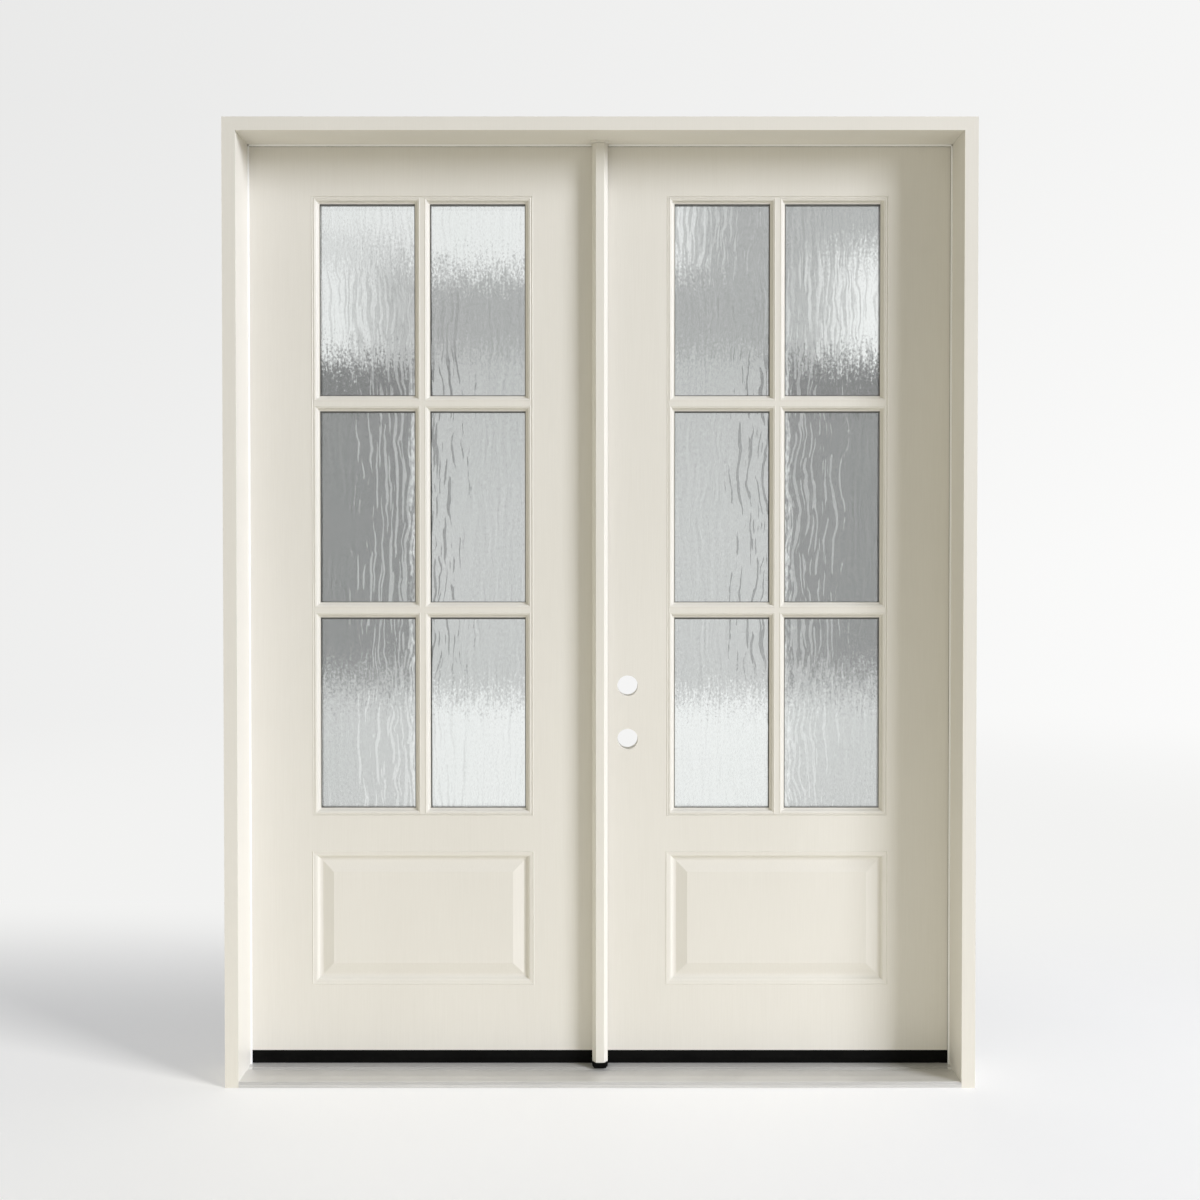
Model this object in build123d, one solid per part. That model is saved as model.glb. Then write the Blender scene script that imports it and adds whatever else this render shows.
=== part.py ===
from build123d import *
import math
import os

# Double entrance door, hung in its frame and opening inwards. Sizes in mm.
# X runs right as seen from outside, Y runs from outside to inside, Z up.
# The origin is the middle of the sill's underside.

# The whole unit
unit_width = 1900.0
unit_height = 2450.0
jamb_depth = 166.7

# Side and head jambs: a stop with a rabbet behind it for the leaf
jamb_face = 34.0
rabbet_depth = 12.7
seal_space = 5.7
kerf_width = 3.0
kerf_depth = 10.0

# Gaps that the leaves run in
hinge_gap = 5.0
head_gap = 5.0
meeting_gap = 5.0
lock_bevel_angle = 3.0

# Leaves
leaf_thickness = 44.5
leaf_bottom = 50.8
skin = 2.0
stile_width = 38.0
rail_height = 38.0

# Flat faces that the leaf shows beside, over, between and under the lites and the panel
stile_face = 175.5
top_rail_face = 141.6
middle_rail_face = 100.6
bottom_rail_face = 177.6

# Six lites in a moulded frame, two across and three up
lites_across = 2
lites_up = 3
bar_width = 40.0
lite_frame_border = 17.0
lite_frame_depth = 9.5
lite_frame_quirk = 1.2
ovolo_run = 5.8
ovolo_drop = 4.5
bead_run = 6.2
arc_steps = 3

# Sealed glass unit
pane = 3.0
glass_cover = 10.0
spacer_width = 10.0

# Raised panel under the lites
panel_height = 341.0
panel_sticking = 21.0
panel_depth = 9.0
panel_bevel = 29.5
panel_field_drop = 1.5

# Lock preparation in the right leaf, the one that opens first
backset = 69.85
cross_bore_radius = 27.0
edge_bore_radius = 12.7
lockset_height = 868.3
deadbolt_rise = 139.7
faceplate_width = 25.4
faceplate_height = 57.2
faceplate_recess = 3.0
lock_block_width = 90.0
lock_block_margin = 72.0

# Butt hinges, four to a leaf
hinge_count = 4
hinge_height = 101.6
hinge_plate = 2.2
hinge_reach = 38.0
hinge_end_distance = 180.0
barrel_radius = 6.35
barrel_stand_off = 0.5
knuckles = 3
knuckle_gap = 0.4
pin_radius = 3.0
pin_clearance = 0.3
pin_tip = 3.0
pin_end_cover = 1.0

# Compression seals round the leaves
seal_clearance = 0.4
seal_show = 4.0
seal_width = 14.0
seal_barb = 2.4
seal_round = 1.6

# Sill: a substrate under an aluminium deck with a flat threshold behind it
sill_height = 14.4
deck_underside = 9.5
nose_lip = 5.5
nose_setback = 3.0
nose_shoulder = 10.5
deck_edge = 1.0
rib_count = 2
rib_width = 35.0
rib_rise = 0.5
channel_width = 18.0
channel_floor = 11.5
threshold_top = 15.5
threshold_slope = 5.0

# Door bottoms: a moulded sweep with three fins
sweep_inset = 1.0
sweep_body_bottom = 23.0
sweep_step = 1.5
sweep_step_height = 6.0
fin_thickness = 3.0
fin_count = 3
fin_clearance = 0.5

# Astragal: the moulding on the left leaf that covers the meeting gap
astragal_width = 40.0
astragal_proud = 38.0
astragal_front = 20.8
astragal_side = 24.0
astragal_clearance = 5.0
astragal_bottom = 24.1
astragal_head_gap = 5.0
astragal_seal_width = 10.0
astragal_foot_inset = 3.0
astragal_foot_clearance = 0.7
head_pad_overhang = 1.5
head_pad_clearance = 0.7

# Planes and edges that several pieces share
front_y = -jamb_depth / 2
back_y = jamb_depth / 2
leaf_front_y = back_y - leaf_thickness
stop_back_y = leaf_front_y - seal_space
jamb_outer_x = unit_width / 2
stop_x = jamb_outer_x - jamb_face
rabbet_x = stop_x + rabbet_depth
soffit_z = unit_height - jamb_face
head_rabbet_z = soffit_z + rabbet_depth
hinge_edge_x = rabbet_x - hinge_gap
lock_edge_x = meeting_gap / 2
lock_bevel = math.tan(math.radians(lock_bevel_angle))
leaf_top = head_rabbet_z - head_gap
leaf_mid_y = leaf_front_y + leaf_thickness / 2
leaf_mid_x = (lock_edge_x + hinge_edge_x) / 2

# Panel and lites fill what the flat faces of the leaf leave
panel_width = hinge_edge_x - lock_edge_x - 2 * stile_face
panel_bottom = leaf_bottom + bottom_rail_face
panel_mid_z = panel_bottom + panel_height / 2
lites_width = panel_width - 2 * lite_frame_border
lites_bottom = panel_bottom + panel_height + middle_rail_face + lite_frame_border
lites_top = leaf_top - top_rail_face - lite_frame_border
lites_height = lites_top - lites_bottom
lites_mid_z = (lites_bottom + lites_top) / 2
lite_width = (lites_width - (lites_across - 1) * bar_width) / lites_across
lite_height = (lites_height - (lites_up - 1) * bar_width) / lites_up

# Lock bores and hinges
bore_x = lock_edge_x + backset
bore_heights = [lockset_height, lockset_height + deadbolt_rise]
pin_x = rabbet_x - hinge_gap / 2
pin_y = back_y + barrel_stand_off + barrel_radius
threshold_front_y = front_y + nose_setback + deck_edge + rib_count * rib_width + channel_width
hinge_step = (leaf_top - leaf_bottom - 2 * hinge_end_distance) / (hinge_count - 1)
hinge_heights = [leaf_bottom + hinge_end_distance + n * hinge_step for n in range(hinge_count)]


def block(x0, x1, y0, y1, z0, z1):
    """A box between two corners."""
    middle = Pos((x0 + x1) / 2, (y0 + y1) / 2, (z0 + z1) / 2)
    return middle * Box(x1 - x0, y1 - y0, z1 - z0)


def upright(points, z0, z1):
    """A plan outline, as X and Y pairs, raised from z0 to z1."""
    outline = make_face(Polyline(*points, close=True))
    return extrude(Plane.XY.offset(z0) * outline, amount=z1 - z0, dir=(0, 0, 1))


def crosswise(edges, half_length):
    """A closed outline on the Y-Z plane, drawn out both ways along X."""
    return extrude(make_face(edges), amount=half_length, dir=(1, 0, 0), both=True)


def on_side(piece, side):
    """Pieces are drawn for the right leaf; the left leaf's are their mirror image."""
    return piece if side == "right" else mirror(piece, about=Plane.YZ)


def other_face(piece):
    """Turn what is drawn for the outer face of a leaf to its inner face."""
    return mirror(piece, about=Plane.XZ.offset(-leaf_mid_y))


def rectangle_at(width, height, mid_x, mid_z, depth):
    """A rectangle that stands parallel to the leaf, at a depth behind its outer face."""
    place = Plane(origin=(mid_x, leaf_front_y + depth, mid_z), x_dir=(1, 0, 0), z_dir=(0, -1, 0))
    return place * Rectangle(width, height)


def stepped_pocket(width, height, mid_x, mid_z, steps):
    """A pocket with moulded sides: each step is how far in it lies and how deep."""
    rings = [rectangle_at(width - 2 * inset, height - 2 * inset, mid_x, mid_z, depth)
             for inset, depth in steps]
    return loft(rings, ruled=True)


def sticking_steps():
    """The lite moulding from the face to the glass: a hollow curve, then a bead."""
    quarter = [math.pi / 2 * n / arc_steps for n in range(arc_steps + 1)]
    hollow = [(ovolo_run * math.sin(a), ovolo_drop * (1 - math.cos(a))) for a in quarter]
    bead_drop = lite_frame_depth - ovolo_drop
    bead = [(ovolo_run + bead_run * (1 - math.cos(a)), ovolo_drop + bead_drop * math.sin(a))
            for a in quarter[1:]]
    return hollow + bead


def build_jamb():
    """Right side jamb, with its rabbet, seal kerf and hinge mortises."""
    stop = block(stop_x, jamb_outer_x, front_y, stop_back_y, 0, unit_height)
    back = block(rabbet_x, jamb_outer_x, stop_back_y, back_y, 0, unit_height)
    kerf_x = (stop_x + rabbet_x) / 2
    kerf = block(kerf_x - kerf_width / 2, kerf_x + kerf_width / 2,
                 stop_back_y - kerf_depth, stop_back_y, 0, unit_height)
    jamb = stop + back - kerf
    for z in hinge_heights:
        jamb -= block(rabbet_x, rabbet_x + hinge_plate, back_y - hinge_reach, back_y,
                      z - hinge_height / 2, z + hinge_height / 2)
    return jamb


def build_head():
    """Head jamb, fitted between the side jambs."""
    stop = block(-stop_x, stop_x, front_y, stop_back_y, soffit_z, unit_height)
    back = block(-rabbet_x, rabbet_x, stop_back_y, back_y, head_rabbet_z, unit_height)
    kerf_z = (soffit_z + head_rabbet_z) / 2
    kerf = block(-stop_x, stop_x, stop_back_y - kerf_depth, stop_back_y,
                 kerf_z - kerf_width / 2, kerf_z + kerf_width / 2)
    return stop + back - kerf


def seal_outline():
    """Section of a compression seal: X across the stop, Y towards the leaf."""
    pad_depth = seal_space - seal_clearance
    pad = Pos(seal_width / 2 - seal_show, pad_depth / 2) * RectangleRounded(
        seal_width, pad_depth, seal_round)
    barb = Pos(rabbet_depth / 2, -kerf_depth / 2 + seal_round / 2) * Rectangle(
        seal_barb, kerf_depth + seal_round)
    return pad + barb


def build_side_seal():
    """Seal on the right jamb's stop, from the threshold to the head seal."""
    place = Plane(origin=(stop_x, stop_back_y, threshold_top), x_dir=(1, 0, 0), z_dir=(0, 0, 1))
    return extrude(place * seal_outline(), amount=soffit_z - seal_show - threshold_top)


def build_head_seal():
    """Seal on the head's stop, between the side seals."""
    half = stop_x - seal_show
    place = Plane(origin=(half, stop_back_y, soffit_z), x_dir=(0, 0, 1), z_dir=(-1, 0, 0))
    return extrude(place * seal_outline(), amount=2 * half)


def sill_ends_cut(piece):
    """Trim a sill piece so that its ends fit round the jamb stops."""
    for x0, x1 in [(-rabbet_x, -stop_x), (stop_x, rabbet_x)]:
        piece -= block(x0, x1, front_y, stop_back_y, 0, threshold_top)
    return piece


def build_substrate():
    """Composite sill board that the deck and threshold are fixed to."""
    board = block(-rabbet_x, rabbet_x, front_y + nose_setback, back_y, 0, deck_underside)
    return sill_ends_cut(board)


def build_deck():
    """Aluminium deck: a nose with a bevelled lip, two low ribs and a rain channel."""
    lip_y = front_y + nose_setback
    ribs_y = lip_y + deck_edge
    channel_y = threshold_front_y - channel_width
    run = [(front_y, 0), (front_y, nose_lip), (lip_y, nose_shoulder), (lip_y, sill_height - deck_edge)]
    edges = Polyline(*run, (ribs_y, sill_height))
    for n in range(rib_count):
        start = ribs_y + n * rib_width
        edges += ThreePointArc((start, sill_height), (start + rib_width / 2, sill_height - rib_rise),
                               (start + rib_width, sill_height))
    edges += Polyline((channel_y, sill_height), (channel_y, channel_floor),
                      (back_y, channel_floor), (back_y, deck_underside),
                      (lip_y, deck_underside), (lip_y, 0), (front_y, 0))
    section = Plane.YZ * edges
    return sill_ends_cut(crosswise(section, rabbet_x))


def build_threshold():
    """Flat threshold strip under the leaves, with a sloping front edge."""
    points = [(threshold_front_y, channel_floor), (threshold_front_y + threshold_slope, threshold_top),
              (back_y, threshold_top), (back_y, channel_floor)]
    section = Plane.YZ * Polyline(*points, close=True)
    return sill_ends_cut(crosswise(section, rabbet_x))


def panel_relief(extra):
    """What the raised panel takes out of a leaf's outer face, set deeper by extra."""
    quarter = [math.pi / 2 * n / arc_steps for n in range(arc_steps + 1)]
    half_run = panel_sticking / 2
    half_drop = panel_depth / 2
    steps = [(half_run * math.sin(a), extra + half_drop * (1 - math.cos(a))) for a in quarter]
    steps += [(half_run + half_run * (1 - math.cos(a)), extra + half_drop + half_drop * math.sin(a))
              for a in quarter[1:]]
    pocket = stepped_pocket(panel_width, panel_height, leaf_mid_x, panel_mid_z, steps)
    field = stepped_pocket(panel_width, panel_height, leaf_mid_x, panel_mid_z,
                           [(panel_sticking, extra + panel_depth),
                            (panel_sticking + panel_bevel, extra + panel_field_drop)])
    return pocket - field


def lite_frame_hole(depth0, depth1):
    """The rectangle that the lite frames fill, between two depths."""
    half_width = lites_width / 2 + lite_frame_border
    half_height = lites_height / 2 + lite_frame_border
    return block(leaf_mid_x - half_width, leaf_mid_x + half_width,
                 leaf_front_y + depth0, leaf_front_y + depth1,
                 lites_mid_z - half_height, lites_mid_z + half_height)


def cross_bores():
    """Holes through the leaf for the lockset and the deadbolt."""
    holes = [Pos(bore_x, leaf_mid_y, z) * Rot(90, 0, 0) * Cylinder(cross_bore_radius, 2 * leaf_thickness)
             for z in bore_heights]
    return holes[0] + holes[1]


def edge_bores():
    """Holes in from the lock edge, each with its faceplate recess."""
    edge_x = lock_edge_x + lock_bevel * leaf_thickness / 2
    holes = Part()
    for z in bore_heights:
        holes += Pos(bore_x / 2, leaf_mid_y, z) * Rot(0, 90, 0) * Cylinder(edge_bore_radius, bore_x)
        holes += block(0, edge_x + faceplate_recess, leaf_mid_y - faceplate_width / 2,
                       leaf_mid_y + faceplate_width / 2, z - faceplate_height / 2, z + faceplate_height / 2)
    return holes


def build_outer_skin(bored):
    """Moulded outer skin with the raised panel and the hole for the lite frame."""
    edge_x = lock_edge_x + lock_bevel * leaf_thickness
    sheet = block(edge_x, hinge_edge_x, leaf_front_y, leaf_front_y + skin, leaf_bottom, leaf_top)
    sheet = sheet - lite_frame_hole(0, skin) + panel_relief(skin) - panel_relief(0)
    return sheet - cross_bores() if bored else sheet


def build_inner_skin(bored):
    """Moulded inner skin, notched for the hinge plates."""
    edge_x = lock_edge_x + lock_bevel * skin
    sheet = block(edge_x, hinge_edge_x, back_y - skin, back_y, leaf_bottom, leaf_top)
    sheet -= lite_frame_hole(leaf_thickness - skin, leaf_thickness)
    sheet = sheet + other_face(panel_relief(skin)) - other_face(panel_relief(0))
    sheet -= hinge_mortises()
    return sheet - cross_bores() if bored else sheet


def hinge_mortises():
    """Recesses in the leaf's hinge edge, flush with the hinge plates."""
    cuts = Part()
    for z in hinge_heights:
        cuts += block(hinge_edge_x - hinge_plate, hinge_edge_x, back_y - hinge_reach, back_y,
                      z - hinge_height / 2, z + hinge_height / 2)
    return cuts


def build_hinge_stile():
    """Hinge stile between the skins, the full height of the leaf."""
    post = block(hinge_edge_x - stile_width, hinge_edge_x, leaf_front_y + skin, back_y - skin,
                 leaf_bottom, leaf_top)
    return post - hinge_mortises()


def build_lock_stile(bored):
    """Lock stile, bevelled so that its outer corner clears as the leaf swings."""
    points = [(lock_edge_x + lock_bevel * (leaf_thickness - skin), leaf_front_y + skin),
              (lock_edge_x + stile_width, leaf_front_y + skin),
              (lock_edge_x + stile_width, back_y - skin),
              (lock_edge_x + lock_bevel * skin, back_y - skin)]
    post = upright(points, leaf_bottom, leaf_top)
    return post - edge_bores() if bored else post


def build_rail(z0, z1):
    """Top or bottom rail, fitted between the stiles."""
    return block(lock_edge_x + stile_width, hinge_edge_x - stile_width,
                 leaf_front_y + skin, back_y - skin, z0, z1)


def lock_block_body():
    """The solid block that the bores are cut in."""
    x0 = lock_edge_x + stile_width
    return block(x0, x0 + lock_block_width, leaf_front_y + skin, back_y - skin,
                 bore_heights[0] - lock_block_margin, bore_heights[1] + lock_block_margin)


def build_lock_block():
    """Lock block with its two cross bores and the ends of the edge bores."""
    return lock_block_body() - cross_bores() - edge_bores()


def build_core(bored):
    """Foam core: it fills the leaf between stiles, rails, skins and lite frame."""
    foam = build_rail(leaf_bottom + rail_height, leaf_top - rail_height)
    foam -= lite_frame_hole(skin, leaf_thickness - skin)
    foam = foam - panel_relief(skin) - other_face(panel_relief(skin))
    return foam - lock_block_body() if bored else foam


def build_lite_frame():
    """Outer lite frame: border and bars in one moulding, six moulded openings."""
    frame = lite_frame_hole(0, lite_frame_depth)
    border = [e for e in frame.edges() if abs(e.center().Y - leaf_front_y) < 0.01]
    frame = chamfer(border, lite_frame_quirk)
    margin = ovolo_run + bead_run
    for column in range(lites_across):
        for row in range(lites_up):
            mid_x = leaf_mid_x + (column - (lites_across - 1) / 2) * (lite_width + bar_width)
            mid_z = lites_mid_z + (row - (lites_up - 1) / 2) * (lite_height + bar_width)
            frame -= stepped_pocket(lite_width + 2 * margin, lite_height + 2 * margin,
                                    mid_x, mid_z, sticking_steps())
    return frame


def glass_edge(inset, depth0, depth1):
    """A slab as large as the sealed glass unit, less an inset all round."""
    half_width = lites_width / 2 + glass_cover - inset
    half_height = lites_height / 2 + glass_cover - inset
    return block(leaf_mid_x - half_width, leaf_mid_x + half_width,
                 leaf_front_y + depth0, leaf_front_y + depth1,
                 lites_mid_z - half_height, lites_mid_z + half_height)


def build_outer_pane():
    """Rain glass pane, against the outer lite frame."""
    return glass_edge(0, lite_frame_depth, lite_frame_depth + pane)


def build_inner_pane():
    """Clear pane, against the inner lite frame."""
    return glass_edge(0, leaf_thickness - lite_frame_depth - pane, leaf_thickness - lite_frame_depth)


def build_spacer():
    """Edge spacer that holds the two panes apart."""
    depth0 = lite_frame_depth + pane
    depth1 = leaf_thickness - depth0
    return glass_edge(0, depth0, depth1) - glass_edge(spacer_width, depth0, depth1)


def build_sweep():
    """Door bottom: a moulded body under the leaf with fins that wipe the threshold."""
    y0 = leaf_front_y + sweep_inset
    y1 = back_y - sweep_inset
    x0 = lock_edge_x + lock_bevel * leaf_thickness
    x1 = hinge_edge_x - sweep_inset
    step_z = sweep_body_bottom + sweep_step_height
    fin_z = threshold_top + fin_clearance
    body = block(x0, x1, y0, y1, step_z, leaf_bottom)
    body += block(x0, x1, y0 + sweep_step, y1, sweep_body_bottom, step_z)
    pitch = (y1 - y0 - sweep_step - fin_thickness) / (fin_count - 1)
    for n in range(fin_count):
        y = y0 + sweep_step + n * pitch
        body += block(x0, x1, y, y + fin_thickness, fin_z, sweep_body_bottom)
    return body


def build_astragal():
    """Astragal moulding: bevelled outside, stepped back where it laps the right leaf."""
    half = astragal_width / 2
    step_x = -lock_edge_x - lock_bevel * leaf_thickness
    front = leaf_front_y - astragal_proud
    points = [(-half, leaf_front_y), (-half, leaf_front_y - astragal_side),
              (-astragal_front / 2, front), (astragal_front / 2, front),
              (half, leaf_front_y - astragal_side), (half, leaf_front_y - astragal_clearance),
              (step_x, leaf_front_y - astragal_clearance), (step_x, leaf_front_y)]
    return upright(points, astragal_bottom, soffit_z - astragal_head_gap)


def build_astragal_seal():
    """Seal between the astragal and the right leaf's face."""
    x0 = lock_edge_x + lock_bevel * leaf_thickness + seal_clearance
    return block(x0, x0 + astragal_seal_width, leaf_front_y - astragal_clearance,
                 leaf_front_y - seal_clearance, astragal_bottom, soffit_z - astragal_head_gap)


def build_astragal_foot():
    """Soft pad under the astragal that closes it to the threshold."""
    half = astragal_width / 2 - astragal_foot_inset
    y0 = leaf_front_y - astragal_proud + astragal_foot_inset
    y1 = leaf_front_y - astragal_clearance
    z0 = threshold_top + astragal_foot_clearance
    pad = block(-half, half, y0, y1, z0, astragal_bottom)
    front_corners = [e for e in pad.edges().filter_by(Axis.Y) if e.center().Z < z0 + 0.01]
    return fillet(front_corners, (astragal_bottom - z0) / 2)


def build_head_pad():
    """Block under the head that the astragal's top end closes against."""
    half = astragal_width / 2 + head_pad_overhang
    front = leaf_front_y - astragal_proud - head_pad_overhang
    bottom = soffit_z - astragal_head_gap + head_pad_clearance
    return block(-half, half, front, stop_back_y, bottom, soffit_z)


def knuckle_spans(first):
    """Heights of every second knuckle of one hinge, from its lower end."""
    pitch = hinge_height / knuckles
    return [(n * pitch + knuckle_gap / 2, (n + 1) * pitch - knuckle_gap / 2)
            for n in range(first, knuckles, 2)]


def barrel(radius, z0, z1):
    """A round piece on the hinge axis."""
    return Pos(pin_x, pin_y, (z0 + z1) / 2) * Cylinder(radius, z1 - z0)


def build_jamb_hinges():
    """Jamb halves of one side's hinges: plates, knuckles and the pins through them."""
    hinges = Part()
    for z in hinge_heights:
        low = z - hinge_height / 2
        high = z + hinge_height / 2
        half = block(rabbet_x, rabbet_x + hinge_plate, back_y - hinge_reach, back_y, low, high)
        for z0, z1 in knuckle_spans(0):
            half += block(rabbet_x, rabbet_x + hinge_plate, back_y, pin_y, low + z0, low + z1)
            half += barrel(barrel_radius, low + z0, low + z1)
        half += barrel(pin_radius, low + pin_end_cover, high + pin_tip)
        hinges += half
    return hinges


def build_leaf_hinges():
    """Leaf halves of one side's hinges, with bored knuckles round the pins."""
    hinges = Part()
    for z in hinge_heights:
        low = z - hinge_height / 2
        half = block(hinge_edge_x - hinge_plate, hinge_edge_x, back_y - hinge_reach, back_y,
                     low, low + hinge_height)
        for z0, z1 in knuckle_spans(1):
            half += block(hinge_edge_x - hinge_plate, hinge_edge_x, back_y, pin_y, low + z0, low + z1)
            half += barrel(barrel_radius, low + z0, low + z1)
        half -= barrel(pin_radius + pin_clearance, low, low + hinge_height)
        hinges += half
    return hinges


def frame_pieces():
    """Every piece that is fixed to the wall."""
    pieces = {
        "head_jamb": build_head(),
        "head_seal": build_head_seal(),
        "head_pad": build_head_pad(),
        "sill_substrate": build_substrate(),
        "sill_deck": build_deck(),
        "threshold": build_threshold(),
    }
    for side in ("left", "right"):
        pieces[side + "_jamb"] = on_side(build_jamb(), side)
        pieces[side + "_jamb_seal"] = on_side(build_side_seal(), side)
        pieces[side + "_jamb_hinges"] = on_side(build_jamb_hinges(), side)
    return pieces


def leaf_pieces(side):
    """Every piece of one leaf; only the right leaf is bored for a lock."""
    bored = side == "right"
    pieces = {
        "outer_skin": build_outer_skin(bored),
        "inner_skin": build_inner_skin(bored),
        "hinge_stile": build_hinge_stile(),
        "lock_stile": build_lock_stile(bored),
        "top_rail": build_rail(leaf_top - rail_height, leaf_top),
        "bottom_rail": build_rail(leaf_bottom, leaf_bottom + rail_height),
        "foam_core": build_core(bored),
        "outer_lite_frame": build_lite_frame(),
        "inner_lite_frame": other_face(build_lite_frame()),
        "outer_pane": build_outer_pane(),
        "inner_pane": build_inner_pane(),
        "glass_spacer": build_spacer(),
        "door_sweep": build_sweep(),
        "leaf_hinges": build_leaf_hinges(),
    }
    if bored:
        pieces["lock_block"] = build_lock_block()
    return {side + "_" + name: on_side(piece, side) for name, piece in pieces.items()}


def astragal_pieces():
    """The astragal and what seals it, all on the left leaf."""
    return {
        "astragal": build_astragal(),
        "astragal_seal": build_astragal_seal(),
        "astragal_foot": build_astragal_foot(),
    }


os.makedirs("parts", exist_ok=True)
everything = {**frame_pieces(), **leaf_pieces("left"), **leaf_pieces("right"), **astragal_pieces()}
for node, piece in everything.items():
    export_step(piece, "parts/" + node + ".step")
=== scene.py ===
import math

import bmesh
import bpy
import numpy as np
from mathutils import Matrix, Vector


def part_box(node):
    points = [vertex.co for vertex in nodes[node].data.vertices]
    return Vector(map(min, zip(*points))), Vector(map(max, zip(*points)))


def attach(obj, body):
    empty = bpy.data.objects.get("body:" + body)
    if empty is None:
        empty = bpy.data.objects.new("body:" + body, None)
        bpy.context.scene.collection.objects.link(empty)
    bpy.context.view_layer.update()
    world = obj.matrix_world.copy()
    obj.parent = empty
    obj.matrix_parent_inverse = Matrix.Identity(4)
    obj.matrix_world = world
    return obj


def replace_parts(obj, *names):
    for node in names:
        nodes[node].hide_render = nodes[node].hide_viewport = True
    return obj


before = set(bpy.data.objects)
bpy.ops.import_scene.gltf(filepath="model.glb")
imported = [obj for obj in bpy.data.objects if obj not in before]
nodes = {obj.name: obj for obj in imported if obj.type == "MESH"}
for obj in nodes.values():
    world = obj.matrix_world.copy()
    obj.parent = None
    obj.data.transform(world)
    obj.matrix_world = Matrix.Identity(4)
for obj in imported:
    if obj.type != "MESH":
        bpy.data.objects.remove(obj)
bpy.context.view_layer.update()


# Sill: an extruded aluminium deck and flat threshold on a dull composite board. The metal is left as
# it comes from the die, with fine lines along its length, and the board is screwed under it.
EVEN = (1.0, 1.0, 1.0)
NOISE_LOW = 0.3
NOISE_HIGH = 0.7


def new_material(name, **sockets):
    """A material with one main shader whose sockets are set to plain values."""
    material = bpy.data.materials.new(name)
    material.use_nodes = True
    shader = material.node_tree.nodes["Principled BSDF"]
    for socket, value in sockets.items():
        shader.inputs[socket.replace("_", " ")].default_value = value
    return material, material.node_tree, shader


def object_place(tree, scale):
    """Object coordinates, scaled along each axis."""
    place = tree.nodes.new("ShaderNodeTexCoord")
    stretch = tree.nodes.new("ShaderNodeMapping")
    stretch.inputs["Scale"].default_value = scale
    tree.links.new(place.outputs["Object"], stretch.inputs["Vector"])
    return stretch.outputs["Vector"]


def cloud(tree, scale, size, detail=3.0, rough=0.5):
    """A noise pattern in metres: scale stretches it, size is its number of cells per metre."""
    noise = tree.nodes.new("ShaderNodeTexNoise")
    noise.inputs["Scale"].default_value = size
    noise.inputs["Detail"].default_value = detail
    noise.inputs["Roughness"].default_value = rough
    tree.links.new(object_place(tree, scale), noise.inputs["Vector"])
    return noise.outputs["Fac"]


def spread(tree, value, dark, light, low=NOISE_LOW, high=NOISE_HIGH):
    """Turn a pattern's range from low to high into a run of two colours."""
    ramp = tree.nodes.new("ShaderNodeValToRGB")
    for stop, position, colour in zip(ramp.color_ramp.elements, (low, high), (dark, light)):
        stop.position = position
        stop.color = (*colour, 1.0)
    tree.links.new(value, ramp.inputs["Fac"])
    return ramp.outputs["Color"]


def remap(tree, value, low, high, new_low, new_high):
    """Turn a pattern's range from low to high into another range of numbers."""
    node = tree.nodes.new("ShaderNodeMapRange")
    for socket, end in zip(("From Min", "From Max", "To Min", "To Max"), (low, high, new_low, new_high)):
        node.inputs[socket].default_value = end
    tree.links.new(value, node.inputs["Value"])
    return node.outputs["Result"]


def tint(tree, shader, pattern, dark, light, low=NOISE_LOW, high=NOISE_HIGH):
    """Colour a shader by a pattern, from dark where it is low to light where it is high."""
    tree.links.new(spread(tree, pattern, dark, light, low, high), shader.inputs["Base Color"])


def wear(tree, shader, pattern, smooth, rough):
    """Let a pattern move a shader's roughness between two values."""
    tree.links.new(remap(tree, pattern, NOISE_LOW, NOISE_HIGH, smooth, rough), shader.inputs["Roughness"])


def bump(tree, shader, value, depth, under=None):
    """Raise a surface by a pattern, depth in metres from its low to its high."""
    node = tree.nodes.new("ShaderNodeBump")
    node.inputs["Distance"].default_value = depth
    tree.links.new(value, node.inputs["Height"])
    if under is not None:
        tree.links.new(under, node.inputs["Normal"])
    tree.links.new(node.outputs["Normal"], shader.inputs["Normal"])
    return node.outputs["Normal"]


def dress(material, *names):
    """Give CAD nodes a material."""
    for name in names:
        nodes[name].data.materials.clear()
        nodes[name].data.materials.append(material)


aluminium, tree, shader = new_material("mill_aluminium", Metallic=0.45, Roughness=0.42)
die_lines = cloud(tree, (1.5, 900.0, 900.0), 1.0, detail=2.0)
handling = cloud(tree, EVEN, 7.0, detail=5.0)
tint(tree, shader, handling, (0.70, 0.69, 0.66), (0.765, 0.755, 0.725))
wear(tree, shader, die_lines, 0.40, 0.52)
bump(tree, shader, die_lines, 0.00002)
dress(aluminium, "sill_deck", "threshold", "left_glass_spacer", "right_glass_spacer")

board, tree, shader = new_material("sill_composite", Roughness=0.75)
flecks = cloud(tree, EVEN, 260.0, detail=2.0)
tint(tree, shader, flecks, (0.20, 0.185, 0.16), (0.30, 0.28, 0.25), low=0.35, high=0.65)
bump(tree, shader, flecks, 0.0002)
dress(board, "sill_substrate")


# Sill nose: the deck's front edge, with two grooves along its length, here a thin plate over the deck's
# front face. It is the same aluminium, less metallic, coloured darker than the deck as a painted shade on
# its upright face, with faint streaks along it.
NOSE_HALF_WIDTH = 0.9159
NOSE_LOW_Z = 0.0005
NOSE_HIGH_Z = 0.0117
NOSE_STRIPS = 8
NOSE_PROUD = 0.0009
NOSE_SUNK = 0.0012
GROOVE_HEIGHTS = (0.0019, 0.0089)
GROOVE_HALF_WIDTH = 0.0003
GROOVE_DEPTH = 0.0014


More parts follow.
